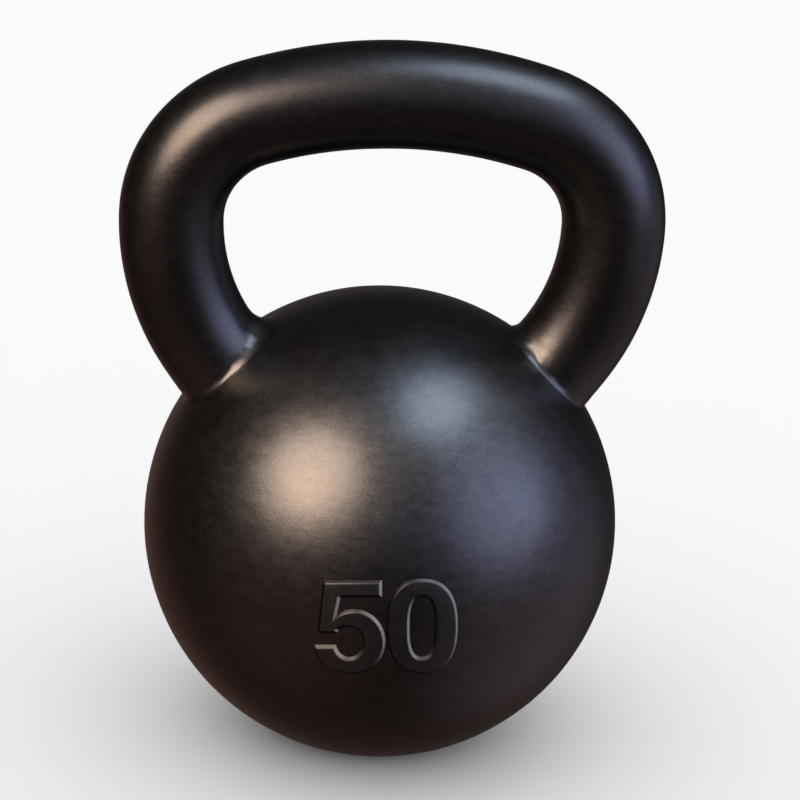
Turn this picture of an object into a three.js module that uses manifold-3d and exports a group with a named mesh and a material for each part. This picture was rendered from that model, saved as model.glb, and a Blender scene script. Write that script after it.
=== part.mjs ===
// A cast-iron kettlebell. A solid ball stands on a flat base. A round bar, bent into a loop, is the
// handle: its two horns end in tenons that sit in blind sockets in the ball, and a weld fillet runs
// round each root. Two raised numerals on the front give the weight.
// Millimetres, +Z up, numerals towards -Y, and the middle of the base at the origin.
import * as THREE from 'three';
import { LoftGeometry } from 'three/addons/geometries/LoftGeometry.js';
import { mergeVertices } from 'three/addons/utils/BufferGeometryUtils.js';
import Module from 'manifold-3d';

const degrees = THREE.MathUtils.degToRad;

// Ball.
const ballRadius = 87.5;
const ballCentreHeight = 79.3;
const baseEdgeRadius = 4;

// Centreline of the handle's bar: a wide bend over the top, a tight bend at each corner, and a bend
// that turns each horn in towards the ball. Heights are above the ball's centre.
const handleHalfWidth = 80;
const crownHeight = 163.4;
const crownBendRadius = 170;
const cornerBendRadius = 41;
const hornBendRadius = 84;
const hornTurn = degrees(57);

// Bar: a little thicker over the top than along the horns.
const crownBarRadius = 19.3;
const hornBarRadius = 18.8;
const taperLength = 80;

// Fillet round each root: it is tight on the outside and grows fast towards the inside of the loop,
// more so on the left.
// The gap is what is left between pieces that meet.
const outerFilletRadius = 3;
const leftInnerFilletRadius = 9;
const rightInnerFilletRadius = 5;
const filletGrowth = 3;
const filletRootDepth = 1.5;
const gap = 0.3;

// Raised numerals. Their outlines are drawn flat, about the middle of the pair, on a plane through
// the ball's centre that faces forward and up, and dropped square from it onto the ball, so that
// they read straight from above. They stand out towards the front, the way the mould is drawn.
const numeralHeight = 1;
const numeralAcross = 2.3;
const numeralBelow = -39.7;
const numeralRise = degrees(24);
const numeralSwing = degrees(-5);
const numeralTilt = degrees(2.7);
const numeralStart = 60;
const numeralDepth = 40;

// Fineness of the meshes.
const roundBallSteps = 64;
const ballArcSteps = 26;
const edgeArcSteps = 3;
const barSides = 28;
const barSteps = 60;
const filletStations = 40;
const filletArcSteps = 4;
const zeroSteps = 40;
const curveSteps = 10;
const bisections = 30;
const mergeDistance = 1e-4;

// The bar is widest where its corner bends end and its horn bends start, level with their centres.
const cornerStart = Math.asin(
  (handleHalfWidth - cornerBendRadius) / (crownBendRadius - cornerBendRadius)
);
const crownBendHeight = crownHeight - crownBendRadius;
const shoulderHeight = crownBendHeight + (crownBendRadius - cornerBendRadius) * Math.cos(cornerStart);

const wasm = await Module();
wasm.setup();

function toSolid(geometry) {
  const bare = new THREE.BufferGeometry();
  bare.setAttribute('position', geometry.getAttribute('position'));
  bare.setIndex(geometry.index);
  const merged = mergeVertices(bare, mergeDistance);
  const mesh = new wasm.Mesh({
    numProp: 3,
    vertProperties: merged.attributes.position.array,
    triVerts: new Uint32Array(merged.index.array),
  });
  return new wasm.Manifold(mesh);
}

function toGeometry(solid) {
  const mesh = solid.getMesh();
  const geometry = new THREE.BufferGeometry();
  geometry.setAttribute('position', new THREE.BufferAttribute(mesh.vertProperties, 3));
  geometry.setIndex(new THREE.BufferAttribute(mesh.triVerts, 1));
  geometry.computeVertexNormals();
  return geometry;
}

// Ball about its own centre, grown by `growth` all over: a lathe profile that runs from the middle of
// the flat base, round the base's edge and over the ball to the top.
function ballSolid(growth) {
  const radius = ballRadius + growth;
  const baseDepth = ballCentreHeight + growth;
  const edgeDepth = baseDepth - baseEdgeRadius;
  const edgeX = Math.sqrt((radius - baseEdgeRadius) ** 2 - edgeDepth ** 2);
  const edgeEnd = -Math.atan2(edgeDepth, edgeX);
  const profile = [new THREE.Vector2(0, -baseDepth)];
  for (let i = 0; i < edgeArcSteps; i++) {
    const angle = THREE.MathUtils.lerp(-Math.PI / 2, edgeEnd, i / edgeArcSteps);
    const x = edgeX + baseEdgeRadius * Math.cos(angle);
    profile.push(new THREE.Vector2(x, -edgeDepth + baseEdgeRadius * Math.sin(angle)));
  }
  for (let i = 0; i < ballArcSteps; i++) {
    const angle = THREE.MathUtils.lerp(edgeEnd, Math.PI / 2, i / ballArcSteps);
    profile.push(new THREE.Vector2(radius * Math.cos(angle), radius * Math.sin(angle)));
  }
  profile.push(new THREE.Vector2(0, radius));
  return toSolid(new THREE.LatheGeometry(profile, roundBallSteps).rotateX(Math.PI / 2));
}

// Centreline of the whole bar, left tenon to right tenon, as arcs in a plane: x is across the
// handle and y is height. `turn` is the angle of each horn bend.
function centreline(turn) {
  const path = new THREE.CurvePath();
  const bend = (x, height, radius, from, to) =>
    path.add(new THREE.EllipseCurve(x, height, radius, radius, from, to, true));
  const hornX = handleHalfWidth - hornBendRadius;
  const cornerX = handleHalfWidth - cornerBendRadius;
  const cornerEnd = Math.PI / 2 - cornerStart;
  bend(-hornX, shoulderHeight, hornBendRadius, Math.PI + turn, Math.PI);
  bend(-cornerX, shoulderHeight, cornerBendRadius, Math.PI, Math.PI - cornerEnd);
  bend(0, crownBendHeight, crownBendRadius, Math.PI - cornerEnd, cornerEnd);
  bend(cornerX, shoulderHeight, cornerBendRadius, cornerEnd, 0);
  bend(hornX, shoulderHeight, hornBendRadius, 0, -turn);
  return path;
}

// Where the bar's centre is a fraction `u` along the centreline, its radius there, and the direction
// across the bar in the plane of the handle, away from the inside of the loop.
function barAt(path, u) {
  const flat = path.getPointAt(u);
  const along = path.getTangentAt(u);
  const fromCrown = path.getLength() * Math.abs(u - 0.5);
  const slimming = THREE.MathUtils.smoothstep(fromCrown, 0, taperLength);
  return {
    centre: new THREE.Vector3(flat.x, 0, flat.y),
    outward: new THREE.Vector3(-along.y, 0, along.x),
    radius: THREE.MathUtils.lerp(crownBarRadius, hornBarRadius, slimming),
  };
}

// A point a given distance from the bar's centre, at `angle` round it from its outer side by way of
// the front.
function roundBar(bar, angle, distance) {
  return bar.centre
    .clone()
    .addScaledVector(bar.outward, distance * Math.cos(angle))
    .addScaledVector(new THREE.Vector3(0, -1, 0), distance * Math.sin(angle));
}

// Bar grown by `growth` all over, its two ends included.
function barSolid(growth) {
  const path = centreline(hornTurn + growth / hornBendRadius);
  const sections = [];
  for (let step = 0; step <= barSteps; step++) {
    const bar = barAt(path, step / barSteps);
    const section = [];
    for (let side = 0; side < barSides; side++) {
      const angle = (side / barSides) * 2 * Math.PI;
      section.push(roundBar(bar, angle, bar.radius + growth));
    }
    sections.push(section);
  }
  return toSolid(new LoftGeometry(sections, { capStart: true, capEnd: true }));
}

function filletRadiusAt(angle, innerRadius) {
  const towardsInside = (1 - Math.cos(angle)) / 2;
  return THREE.MathUtils.lerp(outerFilletRadius, innerRadius, towardsInside ** filletGrowth);
}

// Fillet round the horn's root on the right: the space under a small ball that rolls round the corner,
// touching the big ball and the bar. Each section is the rolling ball's arc between the two
// touching points, closed by a point in the metal behind the corner.
function filletGeometry(innerRadius) {
  const path = centreline(hornTurn);
  const shoulder = 1 - (hornTurn * hornBendRadius) / path.getLength();
  const sections = [];
  for (let station = 0; station <= filletStations; station++) {
    const angle = (station / filletStations) * 2 * Math.PI;
    const radius = filletRadiusAt(angle, innerRadius);
    let high = shoulder;
    let low = 1;
    for (let i = 0; i < bisections; i++) {
      const middle = (high + low) / 2;
      const tried = barAt(path, middle);
      const reach = roundBar(tried, angle, tried.radius + radius).length();
      if (reach > ballRadius + radius) high = middle;
      else low = middle;
    }
    const bar = barAt(path, low);
    const rolling = roundBar(bar, angle, bar.radius + radius);
    const toBall = rolling.clone().normalize().negate();
    const toBar = bar.centre.clone().sub(rolling).normalize();
    const corner = toBall.clone().add(toBar);
    const reachToCorner = (radius + filletRootDepth) / (1 + toBall.dot(toBar));
    const section = [rolling.clone().addScaledVector(corner, reachToCorner)];
    for (let i = 0; i <= filletArcSteps; i++) {
      const direction = toBall.clone().lerp(toBar, i / filletArcSteps).normalize();
      section.push(rolling.clone().addScaledVector(direction, radius));
    }
    sections.push(section);
  }
  return new LoftGeometry(sections);
}

// The 5: down its straight back, up over and round the counter to the lower stroke's end, along the
// lower stroke and up round the bowl, and back along the top bar.
function fiveShape() {
  const counter = { x: -12.8, y: -5.3, halfWidth: 4.75, halfHeight: 5.3 };
  const bowl = { x: -11.2, y: -5.15, halfWidth: 11, halfHeight: 11.1 };
  const top = 15.9;
  const barUnderside = 10.1;
  const barEnd = -1.4;
  const backEnd = -2.15;
  const strokeTop = -6.35;
  const bottom = bowl.y - bowl.halfHeight;
  const shape = new THREE.Shape();
  shape.moveTo(-21.8, top);
  shape.lineTo(-24, backEnd);
  shape.lineTo(-16.7, backEnd);
  shape.lineTo(-16.7, -1);
  shape.bezierCurveTo(-15.6, -0.3, -14.2, 0, counter.x, 0);
  addArc(shape, counter, 90, -168);
  shape.lineTo(-17.8, strokeTop);
  shape.lineTo(-25.1, strokeTop);
  shape.bezierCurveTo(-24.6, -13, -20.2, bottom, bowl.x, bottom);
  addArc(shape, bowl, -90, 122);
  shape.lineTo(-15.8, barUnderside);
  shape.lineTo(barEnd, barUnderside);
  shape.lineTo(barEnd, top);
  return shape;
}

function addArc(shape, ellipse, fromDegrees, toDegrees) {
  const { x, y, halfWidth, halfHeight } = ellipse;
  const clockwise = toDegrees < fromDegrees;
  shape.absellipse(x, y, halfWidth, halfHeight, degrees(fromDegrees), degrees(toDegrees), clockwise);
}

// The 0: an outer and an inner superellipse.
function zeroShape() {
  const outside = { x: 12.6, y: 0.1, halfWidth: 12.45, halfHeight: 16.4 };
  const counter = { x: 12.5, y: -0.1, halfWidth: 4.3, halfHeight: 10.35 };
  const shape = new THREE.Shape(superellipse(outside, 2.45));
  shape.holes.push(new THREE.Path(superellipse(counter, 2.7)));
  return shape;
}

// Ring of points on a superellipse, which is squarer than an ellipse as its power rises above 2.
function superellipse({ x, y, halfWidth, halfHeight }, power) {
  const points = [];
  for (let i = 0; i < zeroSteps; i++) {
    const angle = (i / zeroSteps) * 2 * Math.PI;
    const across = Math.sign(Math.cos(angle)) * Math.abs(Math.cos(angle)) ** (2 / power);
    const up = Math.sign(Math.sin(angle)) * Math.abs(Math.sin(angle)) ** (2 / power);
    points.push(new THREE.Vector2(x + halfWidth * across, y + halfHeight * up));
  }
  return points;
}

// Where points of a numeral's flat outline land on the ball, seen from straight in front.
function landOnBall(outline) {
  const turn = new THREE.Matrix4()
    .makeRotationZ(numeralSwing)
    .multiply(new THREE.Matrix4().makeRotationX(Math.PI / 2 - numeralRise))
    .multiply(new THREE.Matrix4().makeRotationZ(numeralTilt));
  return outline.map((point) => {
    const x = point.x + numeralAcross;
    const y = point.y + numeralBelow;
    const drop = Math.sqrt(ballRadius ** 2 - x ** 2 - y ** 2);
    const landed = new THREE.Vector3(x, y, drop).applyMatrix4(turn);
    return new THREE.Vector2(landed.x, landed.z);
  });
}

// Numeral standing on the ball's surface, which it follows at a constant height.
function numeralSolid(flat, ballGap, ballRaised) {
  const outlines = flat.extractPoints(curveSteps);
  const shape = new THREE.Shape(landOnBall(outlines.shape));
  shape.holes = outlines.holes.map((hole) => new THREE.Path(landOnBall(hole)));
  const block = new THREE.ExtrudeGeometry(shape, { depth: numeralDepth, bevelEnabled: false });
  block.translate(0, 0, numeralStart);
  block.rotateX(Math.PI / 2);
  return toSolid(block).intersect(ballRaised).subtract(ballGap);
}

const blackIron = new THREE.MeshStandardMaterial({ color: 0x1d1917, roughness: 0.42, metalness: 0.2 });
const barIron = new THREE.MeshStandardMaterial({ color: 0x1c1a19, roughness: 0.42, metalness: 0.2 });
const weldIron = new THREE.MeshStandardMaterial({ color: 0x1e1a18, roughness: 0.5, metalness: 0.2 });
const numeralIron = new THREE.MeshStandardMaterial({ color: 0x232226, roughness: 0.4, metalness: 0.2 });

function piece(name, geometry, material) {
  const mesh = new THREE.Mesh(geometry, material);
  mesh.name = name;
  return mesh;
}

const ballGap = ballSolid(gap);
const ballRaised = ballSolid(numeralHeight);
const barGap = barSolid(gap);
const bar = barSolid(0);

const kettlebell = new THREE.Group();
kettlebell.name = 'kettlebell';
kettlebell.position.z = ballCentreHeight;

const ball = piece('ball', toGeometry(ballSolid(0).subtract(barGap)), blackIron);
const handle = piece('handle', toGeometry(bar), barIron);

const rightFillet = toSolid(filletGeometry(rightInnerFilletRadius)).subtract(ballGap).subtract(barGap);
const leftFillet = toSolid(filletGeometry(leftInnerFilletRadius)).subtract(ballGap).subtract(barGap);
const rightWeld = piece('right_root_weld', toGeometry(rightFillet), weldIron);
const leftWeld = piece('left_root_weld', toGeometry(leftFillet), weldIron);
leftWeld.scale.x = -1;

const five = piece('numeral_5', toGeometry(numeralSolid(fiveShape(), ballGap, ballRaised)), numeralIron);
const zero = piece('numeral_0', toGeometry(numeralSolid(zeroShape(), ballGap, ballRaised)), numeralIron);

kettlebell.add(ball, handle, leftWeld, rightWeld, five, zero);

export default kettlebell;
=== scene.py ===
"""Looks of the cast-iron kettlebell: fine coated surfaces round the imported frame, and a pale studio."""
import math

import bpy
import numpy as np
from mathutils import Matrix, Vector, noise
from mathutils.geometry import delaunay_2d_cdt


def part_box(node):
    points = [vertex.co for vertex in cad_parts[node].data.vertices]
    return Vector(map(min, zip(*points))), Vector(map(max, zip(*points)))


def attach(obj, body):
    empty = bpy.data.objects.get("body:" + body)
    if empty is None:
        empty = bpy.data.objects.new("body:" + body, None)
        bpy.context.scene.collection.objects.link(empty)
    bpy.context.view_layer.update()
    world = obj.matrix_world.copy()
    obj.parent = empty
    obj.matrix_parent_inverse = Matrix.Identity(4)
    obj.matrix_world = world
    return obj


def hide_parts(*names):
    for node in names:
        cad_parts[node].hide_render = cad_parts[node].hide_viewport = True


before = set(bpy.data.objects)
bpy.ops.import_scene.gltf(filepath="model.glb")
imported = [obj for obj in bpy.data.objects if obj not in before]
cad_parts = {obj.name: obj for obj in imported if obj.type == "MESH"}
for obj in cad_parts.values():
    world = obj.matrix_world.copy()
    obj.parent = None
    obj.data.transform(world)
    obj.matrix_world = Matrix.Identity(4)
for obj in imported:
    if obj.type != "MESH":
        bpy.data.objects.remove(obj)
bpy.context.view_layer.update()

MM = 0.001

# Bends of the handle's bar, its thickness and the fillets, as the CAD has them.
CROWN_BEND = 170 * MM
CORNER_BEND = 41 * MM
HORN_BEND = 84 * MM
HORN_TURN = math.radians(57)
CROWN_BAR = 19.3 * MM
HORN_BAR = 18.8 * MM
TAPER = 80 * MM
OUTER_FILLET = 3 * MM
LEFT_INNER_FILLET = 9 * MM
RIGHT_INNER_FILLET = 5 * MM
FILLET_GROWTH = 3
FILLET_DEPTH = 1.5 * MM
BASE_EDGE = 4 * MM
SOCKET_GAP = 0.3 * MM

# Ball and handle, measured on the frame. Shapes are worked out about the ball's centre.
ball_low, ball_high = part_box("ball")
BALL = (ball_high.x - ball_low.x) / 2
CENTRE = Vector((0, 0, ball_high.z - BALL))
BASE_DEPTH = CENTRE.z - ball_low.z
handle_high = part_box("handle")[1]
HALF_WIDTH = handle_high.x - HORN_BAR
CROWN_HEIGHT = handle_high.z - CROWN_BAR - CENTRE.z

CORNER_START = math.asin((HALF_WIDTH - CORNER_BEND) / (CROWN_BEND - CORNER_BEND))
CROWN_BEND_Z = CROWN_HEIGHT - CROWN_BEND
SHOULDER_Z = CROWN_BEND_Z + (CROWN_BEND - CORNER_BEND) * math.cos(CORNER_START)
CORNER_AT = CROWN_BEND * CORNER_START
SHOULDER_AT = CORNER_AT + CORNER_BEND * (math.pi / 2 - CORNER_START)
TENON_AT = SHOULDER_AT + HORN_BEND * HORN_TURN

# Numerals, drawn on a plane through the ball's centre and dropped square onto its front: the plane's
# turn, the pair's middle on it, the height of the faces, the width of the slope round their edges, and
# how deep they reach into the ball.
NUMERAL_TURN = (
    Matrix.Rotation(math.radians(-5), 3, "Z")
    @ Matrix.Rotation(math.radians(90 - 24), 3, "X")
    @ Matrix.Rotation(math.radians(2.7), 3, "Z")
)
NUMERAL_ACROSS = 2.3 * MM
NUMERAL_BELOW = -39.7 * MM
NUMERAL_HEIGHT = 1.0 * MM
NUMERAL_SLOPE = 0.9 * MM
NUMERAL_ROOT = 0.6 * MM
# Share of reflection kept on the numerals' slopes, as painted shade that keeps glints off them.
SLOPE_PAINTED_SHEEN = 0.45

# An outline has a corner where it turns more than this. Near a corner, within the fade, an inset
# outline's points slide along the edge, and a corner moves no further than the mitre limit lets it.
CORNER_TURN = math.radians(20)
CORNER_FADE = 5 * MM
MITRE_LIMIT = 0.3

# Unevenness of the castings: broad and close waves, with their heights and sizes.
BROAD_HEIGHT = 0.05 * MM
BROAD_SIZE = 17 * MM
CLOSE_HEIGHT = 0.01 * MM
CLOSE_SIZE = 6 * MM

# Runs of coat round the roots: their thickness, the height and size of their lumps, and their reach.
SWELLING = 0.25 * MM
LUMP_HEIGHT = 0.3 * MM
LUMP_SIZE = 3.5 * MM
SWELLING_REACH = 7 * MM

# Reflection of the coat on the bar, as a share of the ball's, kept lower than the ball's as painted shade.
# A painted highlight makes it fuller near the roots, and a band of painted shade round each horn, at a
# height above the ball, makes it duller.
BAR_PAINTED_SHEEN = 0.73
ROOT_HIGHLIGHT_REACH = 13 * MM
SHADE_BAND_LOSS = 0.18
SHADE_BAND_AT = 34 * MM
SHADE_BAND_REACH = 15 * MM

# Texture of the coat: how far its tint, its reflection and its roughness vary, and how deep its broad
# ripples and its fine peel are.
TINT_SPREAD = 0.2
GRAIN_REFLECTION = 0.15
PATCH_ROUGHNESS = 0.02
GRAIN_ROUGHNESS = 0.015
RIPPLE_DEPTH = 0.05 * MM
PEEL_DEPTH = 0.012 * MM

# Camera: angles in degrees, lens and sensor in millimetres.
CAMERA_AIM = Vector((5.4 * MM, 0, 127.1 * MM))
CAMERA_AZIMUTH = -5.07
CAMERA_ELEVATION = 19.89
CAMERA_ROLL = math.radians(2.73)
CAMERA_DISTANCE = 1208.4 * MM
LENS = 147.87
SENSOR_WIDTH = 36

# Floor, in metres, and the white all round it.
FLOOR_SIZE = 60
FLOOR_GREY = 0.94
PALE_STRENGTH = 1.04

# Fineness of the meshes, and the angle from which an edge is shaded as sharp.
BALL_SEGMENTS = 320
BALL_ROWS = 200
EDGE_ROWS = 8
BASE_RINGS = 12
BAR_SIDES = 112
BAR_STEPS = 360
FILLET_STATIONS = 240
FILLET_ROWS = 18
BISECTIONS = 40
CUTTER_SIDES = 64
CUTTER_STEPS = 120
CURVE_STEPS = 40
ROUND_STEPS = 260
OUTLINE_STEP = 0.35 * MM
SHORTEST_STEP = 0.02 * MM
FACE_GRID = 0.8 * MM
SHARP_ANGLE = math.radians(35)

# How the numerals' faces are triangulated: everything inside their hull, and the nearness of points
# that count as one.
ALL_TRIANGLES = 0
NEARNESS = 1e-12


def smoothstep(x):
    x = np.clip(x, 0, 1)
    return x * x * (3 - 2 * x)


def waves(points, size, start):
    """Smooth noise from about -1 to 1 at points, with waves of a size. start picks the pattern."""
    return np.array([noise.noise(Vector(p) / size + Vector(start)) for p in points])


def relief(points):
    """Height of the casting's slight unevenness at points about the ball's centre."""
    broad = BROAD_HEIGHT * waves(points, BROAD_SIZE, (0, 0, 0))
    return broad + CLOSE_HEIGHT * waves(points, CLOSE_SIZE, (7, 3, 5))


def root_swelling(points):
    """Height of the lumpy runs of coat round the handle's roots, which fade out above the ball."""
    above = np.linalg.norm(points, axis=1) - BALL
    fade = np.exp(-((above / SWELLING_REACH) ** 2)) * smoothstep(above / MM)
    return (SWELLING + LUMP_HEIGHT * waves(points, LUMP_SIZE, (2, 9, 4))) * fade


def bar_painted_sheen(points):
    """Reflection of the bar's coat: fullest at the roots, a painted highlight, and least a little above
    them, a band of painted shade.
    """
    above = np.maximum(np.linalg.norm(points, axis=1) - BALL, 0)
    root_highlight = (1 - BAR_PAINTED_SHEEN) * np.exp(-((above / ROOT_HIGHLIGHT_REACH) ** 2))
    band_shade = SHADE_BAND_LOSS * np.exp(-(((above - SHADE_BAND_AT) / SHADE_BAND_REACH) ** 2))
    return BAR_PAINTED_SHEEN + root_highlight - band_shade


def moved_out(points, normals, heights):
    """Points moved along their normals, each by its own height."""
    return points + normals * heights[:, None]


def unit(vectors):
    return vectors / np.linalg.norm(vectors, axis=-1, keepdims=True)


def make_piece(name, points, faces, node, material):
    """A closed, smooth mesh piece, from points about the ball's centre, that stands for a CAD node."""
    mesh = bpy.data.meshes.new(name)
    mesh.from_pydata((points + np.array(CENTRE)).tolist(), [], faces)
    mesh.validate()
    mesh.shade_smooth()
    mesh.set_sharp_from_angle(angle=SHARP_ANGLE)
    piece = bpy.data.objects.new(name, mesh)
    bpy.context.scene.collection.objects.link(piece)
    iron_pieces.objects.link(piece)
    mesh.materials.append(material)
    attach(piece, "root")
    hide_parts(node)
    return piece


def add_layer(piece, name, values):
    """A layer of values on the piece's points, for its material to read."""
    layer = piece.data.attributes.new(name, "FLOAT", "POINT")
    layer.data.foreach_set("value", values)


def grid_faces(rows, columns, closed_rows=False):
    """Quads between rows of points, each row a closed ring. closed_rows joins the last row to the first."""
    faces = []
    for i in range(rows if closed_rows else rows - 1):
        below = (i + 1) % rows * columns
        for j in range(columns):
            k = (j + 1) % columns
            faces.append((i * columns + j, below + j, below + k, i * columns + k))
    return faces


def ball_piece(material):
    """Ball with its flat base, turned from a profile. cut_sockets cuts the sockets for the horns into it.
    """
    edge_depth = BASE_DEPTH - BASE_EDGE
    edge_x = math.sqrt((BALL - BASE_EDGE) ** 2 - edge_depth**2)
    edge_end = -math.atan2(edge_depth, edge_x)
    flat = [(edge_x * i / BASE_RINGS, -BASE_DEPTH, -math.pi / 2) for i in range(1, BASE_RINGS)]
    profile = list(flat)
    for angle in np.linspace(-math.pi / 2, edge_end, EDGE_ROWS, endpoint=False):
        x = edge_x + BASE_EDGE * math.cos(angle)
        profile.append((x, -edge_depth + BASE_EDGE * math.sin(angle), angle))
    for angle in np.linspace(edge_end, math.pi / 2, BALL_ROWS, endpoint=False):
        profile.append((BALL * math.cos(angle), BALL * math.sin(angle), angle))
    x, z, slope = np.array(profile).T[:, :, None]
    turn = np.linspace(0, 2 * math.pi, BALL_SEGMENTS, endpoint=False)[None]
    points = np.stack([x * np.cos(turn), x * np.sin(turn), z + 0 * turn], -1).reshape(-1, 3)
    normals = np.stack(
        [np.cos(slope) * np.cos(turn), np.cos(slope) * np.sin(turn), np.sin(slope) + 0 * turn], -1
    ).reshape(-1, 3)
    above_base = smoothstep((points[:, 2] + BASE_DEPTH) / BASE_EDGE)
    points = moved_out(points, normals, relief(points) * above_base)
    rows = len(profile)
    faces = [face[::-1] for face in grid_faces(rows, BALL_SEGMENTS)]
    bottom = len(points)
    top = bottom + 1
    points = np.vstack([points, (0, 0, -BASE_DEPTH), (0, 0, BALL)])
    last = (rows - 1) * BALL_SEGMENTS
    for j in range(BALL_SEGMENTS):
        k = (j + 1) % BALL_SEGMENTS
        faces.append((bottom, k, j))
        faces.append((top, last + j, last + k))
    return make_piece("ball_casting", points, faces, "ball", material)


def bar_at(along):
    """Centre, outward direction and radius of the bar at distances along it, signed from the crown."""
    side = np.where(along < 0, -1.0, 1.0)
    far = np.abs(along)
    stretches = [far < CORNER_AT, far < SHOULDER_AT]
    bend = np.select(stretches, [CROWN_BEND, CORNER_BEND], HORN_BEND)
    middle_x = np.select(stretches, [0, HALF_WIDTH - CORNER_BEND], HALF_WIDTH - HORN_BEND)
    middle_z = np.select(stretches, [CROWN_BEND_Z, SHOULDER_Z], SHOULDER_Z)
    started = np.select(stretches, [0, CORNER_AT], SHOULDER_AT)
    turned = np.select(stretches, [0, CORNER_START], math.pi / 2) + (far - started) / bend
    outward = np.stack([side * np.sin(turned), 0 * far, np.cos(turned)], -1)
    centre = np.stack([side * middle_x, 0 * far, middle_z], -1) + outward * bend[..., None]
    radius = CROWN_BAR + (HORN_BAR - CROWN_BAR) * smoothstep(far / TAPER)
    return centre, outward, radius


def round_bar(along, angle):
    """Centres, radii and directions square to the bar, at angles round it from its outer side."""
    centre, outward, radius = bar_at(along)
    front = np.array([0, -1.0, 0])
    return centre, radius, outward * np.cos(angle)[..., None] + front * np.sin(angle)[..., None]


def bar_mesh(reach, growth, sides, steps):
    """Points, normals and faces of the bar, from one tenon's end to the other, grown all over."""
    along, angle = np.meshgrid(
        np.linspace(-reach, reach, steps + 1),
        np.linspace(0, 2 * math.pi, sides, endpoint=False),
        indexing="ij",
    )
    centre, radius, normals = round_bar(along, angle)
    points = (centre + normals * (radius + growth)[..., None]).reshape(-1, 3)
    faces = [face[::-1] for face in grid_faces(steps + 1, sides)]
    faces.append(tuple(range(sides))[::-1])
    faces.append(tuple(range(steps * sides, (steps + 1) * sides)))
    return points, normals.reshape(-1, 3), faces


def handle_piece(material):
    """Handle: the bent bar, uneven all over and a little lumpy at its roots."""
    points, normals, faces = bar_mesh(TENON_AT, 0, BAR_SIDES, BAR_STEPS)
    points = moved_out(points, normals, relief(points) + root_swelling(points))
    piece = make_piece("handle_bar", points, faces, "handle", material)
    add_layer(piece, "painted_sheen", bar_painted_sheen(points))


def cut_sockets(ball):
    """Cuts the blind sockets that the horns' tenons sit in."""
    points, _, faces = bar_mesh(TENON_AT + SOCKET_GAP, SOCKET_GAP, CUTTER_SIDES, CUTTER_STEPS)
    mesh = bpy.data.meshes.new("socket_cutter")
    mesh.from_pydata((points + np.array(CENTRE)).tolist(), [], faces)
    cutter = bpy.data.objects.new("socket_cutter", mesh)
    bpy.context.scene.collection.objects.link(cutter)
    cut = ball.modifiers.new("sockets", "BOOLEAN")
    cut.operation = "DIFFERENCE"
    cut.solver = "MANIFOLD"
    cut.object = cutter
    bpy.context.view_layer.objects.active = ball
    bpy.ops.object.modifier_apply(modifier=cut.name)
    bpy.data.objects.remove(cutter)


def fillet_piece(side, node, material):
    """Fillet round a horn's root: the space under a small ball that rolls round the corner between
    the big ball and the bar, and is larger inside the loop. side is -1 for the left horn and 1 for
    the right. The small ball's place is found by bisection along the bar."""
    angle = np.linspace(0, 2 * math.pi, FILLET_STATIONS, endpoint=False)
    inner = LEFT_INNER_FILLET if side < 0 else RIGHT_INNER_FILLET
    fillet = OUTER_FILLET + (inner - OUTER_FILLET) * ((1 - np.cos(angle)) / 2) ** FILLET_GROWTH
    high = np.full(FILLET_STATIONS, SHOULDER_AT)
    low = np.full(FILLET_STATIONS, TENON_AT)
    for _ in range(BISECTIONS):
        middle = (high + low) / 2
        centre, radius, around = round_bar(side * middle, angle)
        rolling = centre + around * (radius + fillet)[:, None]
        outside = np.linalg.norm(rolling, axis=1) > BALL + fillet
        high = np.where(outside, middle, high)
        low = np.where(outside, low, middle)
    to_ball = -unit(rolling)
    to_bar = unit(centre - rolling)
    share = np.linspace(0, 1, FILLET_ROWS)[None, :, None]
    opening = np.arccos((to_ball * to_bar).sum(1))[:, None, None]
    inwards = (
        np.sin((1 - share) * opening) * to_ball[:, None] + np.sin(share * opening) * to_bar[:, None]
    ) / np.sin(opening)
    surface = (rolling[:, None] + inwards * fillet[:, None, None]).reshape(-1, 3)
    swelling = root_swelling(surface) * np.tile(smoothstep(share.ravel()), FILLET_STATIONS)
    surface = moved_out(surface, -inwards.reshape(-1, 3), relief(surface) + swelling)
    surface = surface.reshape(FILLET_STATIONS, FILLET_ROWS, 3)
    reach = (fillet + FILLET_DEPTH) / (1 + (to_ball * to_bar).sum(1))
    corner = rolling + (to_ball + to_bar) * reach[:, None]
    points = np.concatenate([surface, corner[:, None]], axis=1).reshape(-1, 3)
    faces = grid_faces(FILLET_STATIONS, FILLET_ROWS + 1, closed_rows=True)
    if side > 0:
        faces = [face[::-1] for face in faces]
    piece = make_piece(node.replace("weld", "fillet"), points, faces, node, material)
    add_layer(piece, "painted_sheen", bar_painted_sheen(points))


def arc(x, y, half_width, half_height, start, end):
    """Points on an ellipse between two angles in degrees, in millimetres."""
    length = math.radians(abs(end - start)) * (half_width + half_height) / 2
    angles = np.radians(np.linspace(start, end, max(4, int(length * MM / OUTLINE_STEP))))
    return [(x + half_width * math.cos(a), y + half_height * math.sin(a)) for a in angles]


def curve(start, first, second, end):
    """Points on a cubic curve, in millimetres."""
    share = np.linspace(0, 1, CURVE_STEPS)[:, None]
    rest = 1 - share
    points = rest**3 * np.array(start) + 3 * rest**2 * share * np.array(first)
    points = points + 3 * rest * share**2 * np.array(second) + share**3 * np.array(end)
    return [tuple(p) for p in points]


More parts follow.
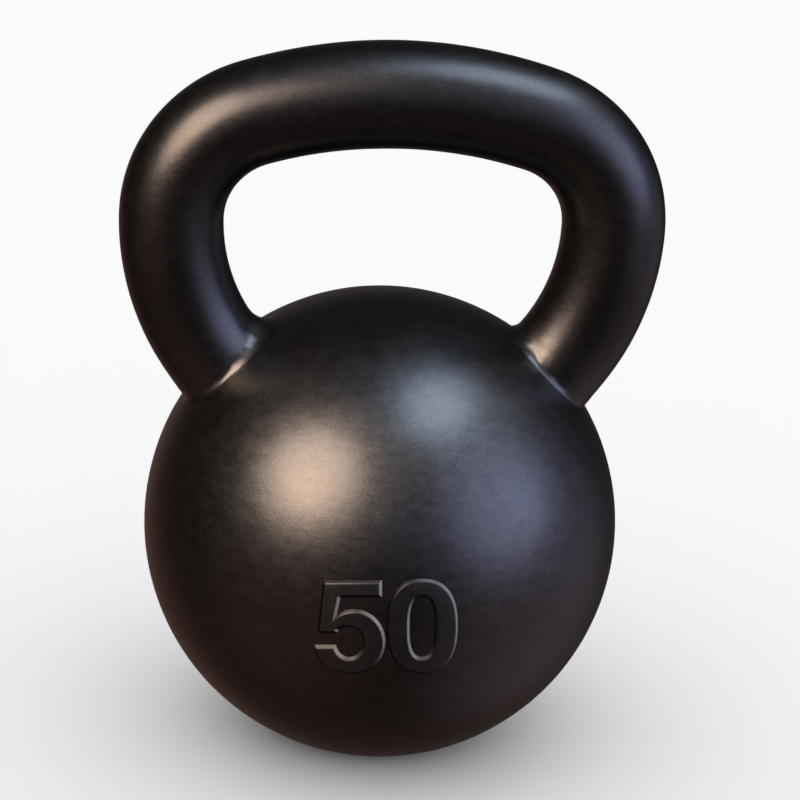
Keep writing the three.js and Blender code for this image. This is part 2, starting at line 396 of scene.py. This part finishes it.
def five_outline():
    """Flat-topped 5, in millimetres about the middle of the pair of numerals."""
    top, bar_underside, bar_end, bottom = 15.9, 10.1, -1.4, -16.25
    points = [(-21.8, top), (-24, -2.15), (-16.7, -2.15)]
    points += curve((-16.7, -1), (-15.6, -0.3), (-14.2, 0), (-12.8, 0))
    points += arc(-12.8, -5.3, 4.75, 5.3, 90, -168)
    points += [(-17.8, -6.35)]
    points += curve((-25.1, -6.35), (-24.6, -13), (-20.2, bottom), (-11.2, bottom))
    points += arc(-11.2, -5.15, 11, 11.1, -90, 122)
    points += [(-15.8, bar_underside), (bar_end, bar_underside), (bar_end, top)]
    return [points]


def superellipse(x, y, half_width, half_height, power):
    """Points on a rounded box about a middle. A power of 2 makes an ellipse, and more a squarer shape."""
    points = []
    for angle in np.linspace(0, 2 * math.pi, ROUND_STEPS, endpoint=False):
        across = math.copysign(abs(math.cos(angle)) ** (2 / power), math.cos(angle))
        up = math.copysign(abs(math.sin(angle)) ** (2 / power), math.sin(angle))
        points.append((x + half_width * across, y + half_height * up))
    return points


def zero_outline():
    """0 and its counter, in millimetres about the middle of the pair of numerals."""
    outside = superellipse(12.6, 0.1, 12.45, 16.4, 2.45)
    counter = superellipse(12.5, -0.1, 4.3, 10.35, 2.7)
    return [outside, counter[::-1]]


def even_loop(points):
    """The loop in metres, with its corners kept and points added so that none is far from the next."""
    points = np.array(points) * MM
    loop = []
    for here, there in zip(points, np.roll(points, -1, axis=0)):
        length = np.linalg.norm(there - here)
        if length < SHORTEST_STEP:
            continue
        steps = max(1, round(length / OUTLINE_STEP))
        for i in range(steps):
            loop.append(here + (there - here) * i / steps)
    return np.array(loop)


def edges(loop):
    """Directions into and out of each of the loop's points, and the turn to the left there."""
    before = unit(loop - np.roll(loop, 1, axis=0))
    after = unit(np.roll(loop, -1, axis=0) - loop)
    cross = before[:, 0] * after[:, 1] - before[:, 1] * after[:, 0]
    return before, after, np.arctan2(cross, (before * after).sum(1))


def inset(loop, distance):
    """The loop moved towards the solid on its left by the same distance all along. Beside a corner the
    points also close up or spread out along the edge, so that they don't cross."""
    before, after, turn = edges(loop)
    tangent = unit(before + after)
    left = np.stack([-tangent[:, 1], tangent[:, 0]], -1)
    moved = loop + left * (distance / np.maximum(np.cos(turn / 2), MITRE_LIMIT))[:, None]
    corners = np.flatnonzero(np.abs(turn) > CORNER_TURN)
    for corner, following in zip(corners, np.roll(corners, -1)):
        count = (following - corner) % len(loop) or len(loop)
        run = (corner + np.arange(count + 1)) % len(loop)
        along = np.append(0, np.cumsum(np.linalg.norm(np.diff(loop[run], axis=0), axis=1)))
        fade = min(along[-1], CORNER_FADE)
        slide = math.tan(turn[corner] / 2) * np.maximum(0, 1 - along / fade)
        slide -= math.tan(turn[following] / 2) * np.maximum(0, 1 - (along[-1] - along) / fade)
        moved[run[1:-1]] += tangent[run[1:-1]] * (distance * slide[1:-1])[:, None]
    return moved


def slope_profile():
    """Distances in from a numeral's outline, heights, and how much of the painted highlight and painted
    shade each place takes: a straight slope with a rounded upper edge."""
    profile = [(0, -NUMERAL_ROOT, 1), (0, 0, 1)]
    for share in (0.25, 0.5, 0.75):
        profile.append((NUMERAL_SLOPE * share, NUMERAL_HEIGHT * share, 1))
    for t in (0.25, 0.5, 0.75, 1):
        share = 0.75 + 0.5 * t
        height = 1 - 0.25 * (1 - t) ** 2
        profile.append((NUMERAL_SLOPE * share, NUMERAL_HEIGHT * height, 1 - t))
    return profile


def painted_light_along(loop):
    """How much painted highlight, a grey laid into its colour, and how much painted shade, a loss of its
    reflection, the slope along a numeral's outline gets. The painted highlight is strongest where it
    faces right and a little where it faces up. The painted shade falls where it faces left or down, and
    where it faces up in the numeral's lower half."""
    before, after, _ = edges(loop)
    tangent = unit(before + after)
    right = tangent[:, 1]
    up = -tangent[:, 0]
    facing_up = np.maximum(up, 0)
    low = smoothstep(-loop[:, 1] / (8 * MM))
    # Painted highlight: grey laid on where the slope faces right, and a little where it faces up, more so
    # low down.
    painted_highlight = np.clip(right + 0.6 * np.minimum(up, 0), 0, 1) ** 1.5
    painted_highlight += (0.04 + 0.16 * low) * facing_up**2
    # Painted shade: the slope's reflection is taken away where it faces left or down, and where it faces up
    # in the lower half.
    painted_shade = np.maximum(-1.6 * right - 0.1 * facing_up, -1.3 * up)
    painted_shade = np.maximum(painted_shade, 0.7 * low * facing_up)
    return painted_highlight, np.clip(painted_shade, 0, 1)


def on_ball(flat, height):
    """Points at a height above the ball's front, where points on the numerals' plane drop onto it."""
    x = NUMERAL_ACROSS + flat[:, 0]
    y = NUMERAL_BELOW + flat[:, 1]
    landed = np.stack([x, y, np.sqrt(BALL**2 - x**2 - y**2)], -1) @ np.array(NUMERAL_TURN).T
    return landed * ((BALL + height) / BALL)


def fill(loops, inner_points):
    """Fills the loops with triangles that also use the points inside. Returns the flat points, the
    loops' own first, and the triangles. The loops are compared as rounded by the triangulation."""
    points = []
    borders = []
    for loop in loops:
        start = len(points)
        points += [Vector(p) for p in loop]
        borders += [(start + i, start + (i + 1) % len(loop)) for i in range(len(loop))]
    points += [Vector(p) for p in inner_points]
    made = delaunay_2d_cdt(points, borders, [], ALL_TRIANGLES, NEARNESS)
    flat = np.array([tuple(p) for p in made[0]])
    ends = np.cumsum([len(loop) for loop in loops])
    kept = inside(flat[np.array(made[2])].mean(1), np.split(flat[: ends[-1]], ends[:-1]))
    return flat, [tuple(face) for face, keep in zip(made[2], kept) if keep]


def inside(points, loops):
    """True for points within the loops, counting how often a line to the right crosses them."""
    crossings = np.zeros(len(points), int)
    for loop in loops:
        for (x0, y0), (x1, y1) in zip(loop, np.roll(loop, -1, axis=0)):
            spans = (y0 > points[:, 1]) != (y1 > points[:, 1])
            reach = x0 + (points[:, 1] - y0) * (x1 - x0) / (y1 - y0 if y1 != y0 else 1)
            crossings += spans & (points[:, 0] < reach)
    return crossings % 2 == 1


def face_grid(loops):
    """Even grid of points within the loops, none of them close to an edge."""
    low = np.min([loop.min(0) for loop in loops], axis=0)
    high = np.max([loop.max(0) for loop in loops], axis=0)
    across = np.arange(low[0], high[0], FACE_GRID)
    up = np.arange(low[1], high[1], FACE_GRID)
    grid = np.stack(np.meshgrid(across, up), -1).reshape(-1, 2)
    kept = inside(grid, loops)
    for loop in loops:
        kept &= np.linalg.norm(grid[:, None] - loop[None], axis=2).min(1) > FACE_GRID / 2
    return grid[kept]


def numeral_piece(name, outline, node, material):
    """Raised numeral: a slope up from the ball to a face that follows it, closed underneath. Its
    layers say where it gets a painted highlight and how much reflection it keeps, less on the slope as
    painted shade."""
    loops = [even_loop(points) for points in outline]
    profile = slope_profile()
    points = []
    painted_highlight = []
    painted_sheen = []
    faces = []
    count = 0
    rim_starts = []
    for loop in loops:
        highlight_share, painted_shade = painted_light_along(loop)
        for distance, height, slope_share in profile:
            points.append(on_ball(inset(loop, distance), height))
            painted_highlight.append(highlight_share * slope_share)
            painted_sheen.append(1 - slope_share * (1 - SLOPE_PAINTED_SHEEN * (1 - 0.9 * painted_shade)))
        faces += [tuple(count + i for i in face[::-1]) for face in grid_faces(len(profile), len(loop))]
        rim_starts.append((count, count + (len(profile) - 1) * len(loop)))
        count += len(profile) * len(loop)
    for level in (0, -1):
        distance, height, _ = profile[level]
        rim_loops = [inset(loop, distance) for loop in loops]
        flat, triangles = fill(rim_loops, face_grid(rim_loops))
        rims = np.concatenate([np.arange(len(loop)) + rim[level] for loop, rim in zip(loops, rim_starts)])
        extra = flat[len(rims) :]
        index = np.concatenate([rims, count + np.arange(len(extra))])
        points.append(on_ball(extra, height))
        painted_highlight.append(np.zeros(len(extra)))
        painted_sheen.append(np.ones(len(extra)))
        count += len(extra)
        for triangle in triangles:
            face = tuple(int(index[corner]) for corner in triangle)
            faces.append(face[::-1] if level == 0 else face)
    piece = make_piece(name, np.concatenate(points), faces, node, material)
    add_layer(piece, "painted_highlight", np.concatenate(painted_highlight))
    add_layer(piece, "painted_sheen", np.concatenate(painted_sheen))


def node_tools(material):
    """The material's emptied node tree, and a function that adds a node to it."""
    material.use_nodes = True
    tree = material.node_tree
    tree.nodes.clear()

    def add(kind, **values):
        node = tree.nodes.new("ShaderNode" + kind)
        for key, value in values.items():
            setattr(node, key, value)
        return node

    return tree, add


def coated_iron(name, colour, roughness, reflection, mottling, marks, painted_sheen=False, highlight_colour=None):
    """Black satin coat over cast iron. How much it reflects changes in soft patches that run round the
    piece, in a fine grain, and in a few dark brush marks. A layer on the mesh can scale its reflection, as
    painted highlight and painted shade, and, with a highlight colour, another lays a painted highlight into
    its colour."""
    material = bpy.data.materials.new(name)
    tree, add = node_tools(material)
    link = tree.links.new
    place = add("TexCoord")
    output = add("OutputMaterial")
    shader = add("BsdfPrincipled")
    link(shader.outputs["BSDF"], output.inputs["Surface"])

    def noise_at(scale, detail, harshness, flatten=1):
        node = add("TexNoise")
        squeeze = add("Mapping")
        squeeze.inputs["Scale"].default_value = (1, 1, flatten)
        link(place.outputs["Object"], squeeze.inputs["Vector"])
        link(squeeze.outputs["Vector"], node.inputs["Vector"])
        node.inputs["Scale"].default_value = scale
        node.inputs["Detail"].default_value = detail
        node.inputs["Roughness"].default_value = harshness
        return node.outputs["Fac"]

    def between(value, low, high, from_low=0.3, from_high=0.7):
        node = add("MapRange")
        link(value, node.inputs["Value"])
        node.inputs["From Min"].default_value = from_low
        node.inputs["From Max"].default_value = from_high
        node.inputs["To Min"].default_value = low
        node.inputs["To Max"].default_value = high
        return node.outputs["Result"]

    def combine(operation, first, second):
        node = add("Math", operation=operation)
        link(first, node.inputs[0])
        link(second, node.inputs[1])
        return node.outputs["Value"]

    def bump(height, distance):
        node = add("Bump")
        node.inputs["Strength"].default_value = 1
        node.inputs["Distance"].default_value = distance
        link(height, node.inputs["Height"])
        return node

    patches = noise_at(scale=170, detail=4, harshness=0.6, flatten=1.8)
    grain = noise_at(scale=1300, detail=2, harshness=0.6)
    strokes = noise_at(scale=100, detail=2, harshness=0.5, flatten=3.5)

    tint = add("MixRGB", blend_type="MIX")
    link(between(patches, 0, 1), tint.inputs["Fac"])
    tint.inputs["Color1"].default_value = [(1 - TINT_SPREAD) * c for c in colour] + [1]
    tint.inputs["Color2"].default_value = [(1 + TINT_SPREAD) * c for c in colour] + [1]

    gloss = between(patches, reflection * (1 - mottling), reflection * (1 + mottling))
    speckle = GRAIN_REFLECTION * reflection
    gloss = combine("ADD", gloss, between(grain, -speckle, speckle))
    dark_marks = between(strokes, 0, marks * reflection, from_low=0.67, from_high=0.8)
    gloss = combine("SUBTRACT", gloss, dark_marks)
    rough = between(patches, roughness - PATCH_ROUGHNESS, roughness + PATCH_ROUGHNESS)
    rough = combine("ADD", rough, between(grain, -GRAIN_ROUGHNESS, GRAIN_ROUGHNESS))
    # Painted highlight: a grey mixed into the coat's colour where its layer says.
    if highlight_colour:
        painted_highlight = add("MixRGB", blend_type="MIX")
        link(add("Attribute", attribute_name="painted_highlight").outputs["Fac"], painted_highlight.inputs["Fac"])
        link(tint.outputs["Color"], painted_highlight.inputs["Color1"])
        painted_highlight.inputs["Color2"].default_value = (*highlight_colour, 1)
        link(painted_highlight.outputs["Color"], shader.inputs["Base Color"])
    else:
        link(tint.outputs["Color"], shader.inputs["Base Color"])
    if painted_sheen:
        gloss = combine("MULTIPLY", gloss, add("Attribute", attribute_name="painted_sheen").outputs["Fac"])
    link(gloss, shader.inputs["Specular IOR Level"])
    link(rough, shader.inputs["Roughness"])

    ripples = bump(patches, RIPPLE_DEPTH)
    peel = bump(grain, PEEL_DEPTH)
    link(ripples.outputs["Normal"], peel.inputs["Normal"])
    link(peel.outputs["Normal"], shader.inputs["Normal"])
    return material


def direction(azimuth, elevation):
    """Direction from the ball. Azimuth 0 is straight in front, and 90 is to the right."""
    turn = math.radians(azimuth)
    rise = math.radians(elevation)
    return Vector((math.sin(turn) * math.cos(rise), -math.cos(turn) * math.cos(rise), math.sin(rise)))


def softbox(name, azimuth, elevation, distance, width, height, radiance):
    """Oval softbox that faces the ball and lights only the iron. Its radiance is the same all over,
    so its power grows with its area."""
    back = direction(azimuth, elevation)
    light = bpy.data.lights.new(name, "AREA")
    light.shape = "ELLIPSE"
    light.size = width
    light.size_y = height
    strength = max(radiance)
    light.color = [c / strength for c in radiance]
    light.energy = strength * math.pi * (math.pi * width * height / 4)
    lamp = bpy.data.objects.new(name, light)
    lamp.location = CENTRE + back * distance
    lamp.rotation_euler = back.to_track_quat("Z", "Y").to_euler()
    lamp.visible_camera = False
    lamp.light_linking.receiver_collection = iron_pieces
    bpy.context.scene.collection.objects.link(lamp)


def room_colour(nodes, link):
    """Dim, soft patches of a room, for the coat to reflect. Each row is a patch: its azimuth, elevation
    and spread in degrees, and its colour in the middle."""
    patches = (
        (0, -90, 90, (0.10, 0.06, 0.05)),
        (-150, -25, 35, (0.10, 0.04, 0.03)),
        (-175, -10, 30, (0.12, 0.08, 0.08)),
        (167, 2, 70, (0.02, 0.03, 0.025)),
        (78, -22, 60, (0.39, 0.30, 0.34)),
        (-50, -30, 50, (0.20, 0.10, 0.10)),
        (50, 47, 75, (0.37, 0.40, 0.57)),
        (-46, 37, 45, (0.58, 0.58, 0.75)),
        (20, 60, 30, (0.39, 0.36, 0.16)),
        (90, 55, 35, (0.61, 0.64, 0.62)),
        (60, 20, 35, (2.2, 2.4, 3.7)),
        (100, -5, 30, (0.04, 0.10, 0.20)),
    )
    place = nodes.new("ShaderNodeTexCoord")
    total = None
    for azimuth, elevation, spread, colour in patches:
        facing = nodes.new("ShaderNodeVectorMath")
        facing.operation = "DOT_PRODUCT"
        link(place.outputs["Generated"], facing.inputs[0])
        facing.inputs[1].default_value = direction(azimuth, elevation)
        fade = nodes.new("ShaderNodeMapRange")
        fade.interpolation_type = "SMOOTHSTEP"
        link(facing.outputs["Value"], fade.inputs["Value"])
        fade.inputs["From Min"].default_value = math.cos(math.radians(spread))
        fade.inputs["From Max"].default_value = 1
        patch = nodes.new("ShaderNodeVectorMath")
        patch.operation = "SCALE"
        patch.inputs[0].default_value = colour
        link(fade.outputs["Result"], patch.inputs["Scale"])
        if total is None:
            total = patch
        else:
            both = nodes.new("ShaderNodeVectorMath")
            both.operation = "ADD"
            link(total.outputs["Vector"], both.inputs[0])
            link(patch.outputs["Vector"], both.inputs[1])
            total = both
    return total.outputs["Vector"]


def softboxes():
    """Warm key at the left, cool light above and a faint one at the right. The first two have a lamp
    that makes their middle brighter."""
    softbox("key_softbox", -46.5, 36, 1.05, 0.80, 0.80, (16, 12, 9.3))
    softbox("warm_lamp", -44, 30, 1.05, 0.30, 0.30, (7.5, 3.9, 1.3))
    softbox("top_softbox", 63, 67, 1.3, 0.88, 0.64, (4.7, 6.0, 8.2))
    softbox("top_lamp", 60, 66, 1.3, 0.35, 0.35, (2.5, 1.9, 1.1))
    softbox("side_softbox", 75, 14, 2.0, 0.90, 0.90, (0.6, 0.8, 1.4))


def surroundings():
    """White all round for the floor and the camera, and a dim room in the coat's reflections."""
    world = bpy.data.worlds.new("studio")
    bpy.context.scene.world = world
    world.use_nodes = True
    nodes = world.node_tree.nodes
    link = world.node_tree.links.new
    nodes.clear()
    path = nodes.new("ShaderNodeLightPath")
    room = nodes.new("ShaderNodeBackground")
    link(room_colour(nodes, link), room.inputs["Color"])
    room.inputs["Strength"].default_value = 1
    pale = nodes.new("ShaderNodeBackground")
    pale.inputs["Color"].default_value = (1, 1, 1, 1)
    pale.inputs["Strength"].default_value = PALE_STRENGTH
    choose = nodes.new("ShaderNodeMixShader")
    output = nodes.new("ShaderNodeOutputWorld")
    link(path.outputs["Is Glossy Ray"], choose.inputs["Fac"])
    link(pale.outputs["Background"], choose.inputs[1])
    link(room.outputs["Background"], choose.inputs[2])
    link(choose.outputs["Shader"], output.inputs["Surface"])


def pale_floor():
    """Plain floor, which the coat doesn't reflect."""
    material = bpy.data.materials.new("pale_floor")
    tree, add = node_tools(material)
    shader = add("BsdfPrincipled")
    shader.inputs["Base Color"].default_value = (FLOOR_GREY, FLOOR_GREY, FLOOR_GREY, 1)
    shader.inputs["Roughness"].default_value = 0.9
    tree.links.new(shader.outputs["BSDF"], add("OutputMaterial").inputs["Surface"])
    bpy.ops.mesh.primitive_plane_add(size=FLOOR_SIZE)
    floor = bpy.context.object
    floor.name = "floor"
    floor.data.materials.append(material)
    floor.visible_glossy = False


def camera():
    """Camera with a long lens, above and a little left of the front, and rolled slightly."""
    settings = bpy.data.cameras.new("camera")
    settings.sensor_width = SENSOR_WIDTH
    settings.lens = LENS
    back = direction(CAMERA_AZIMUTH, CAMERA_ELEVATION)
    turn = back.to_track_quat("Z", "Y").to_matrix() @ Matrix.Rotation(CAMERA_ROLL, 3, "Z")
    viewer = bpy.data.objects.new("camera", settings)
    viewer.matrix_world = Matrix.Translation(CAMERA_AIM + back * CAMERA_DISTANCE) @ turn.to_4x4()
    bpy.context.scene.collection.objects.link(viewer)
    bpy.context.scene.camera = viewer


iron_pieces = bpy.data.collections.new("iron_pieces")
camera()
softboxes()
surroundings()
pale_floor()
bpy.context.scene.view_settings.view_transform = "Standard"

BLACK = (0.0008, 0.0007, 0.0007)
NUMERAL_BLACK = (0.0012, 0.0013, 0.0017)
# Grey of the painted highlight on the numerals' slopes.
HIGHLIGHT_GREY = (0.15, 0.15, 0.15)
ball_coat = coated_iron("ball_coat", BLACK, roughness=0.33, reflection=0.56, mottling=0.12, marks=0.15)
bar_coat = coated_iron(
    "bar_coat", BLACK, roughness=0.33, reflection=0.56, mottling=0.06, marks=0.1, painted_sheen=True
)
numeral_coat = coated_iron(
    "numeral_coat",
    NUMERAL_BLACK,
    roughness=0.36,
    reflection=0.55,
    mottling=0.06,
    marks=0.1,
    painted_sheen=True,
    highlight_colour=HIGHLIGHT_GREY,
)

cut_sockets(ball_piece(ball_coat))
handle_piece(bar_coat)
fillet_piece(-1, "left_root_weld", bar_coat)
fillet_piece(1, "right_root_weld", bar_coat)
numeral_piece("raised_5", five_outline(), "numeral_5", numeral_coat)
numeral_piece("raised_0", zero_outline(), "numeral_0", numeral_coat)
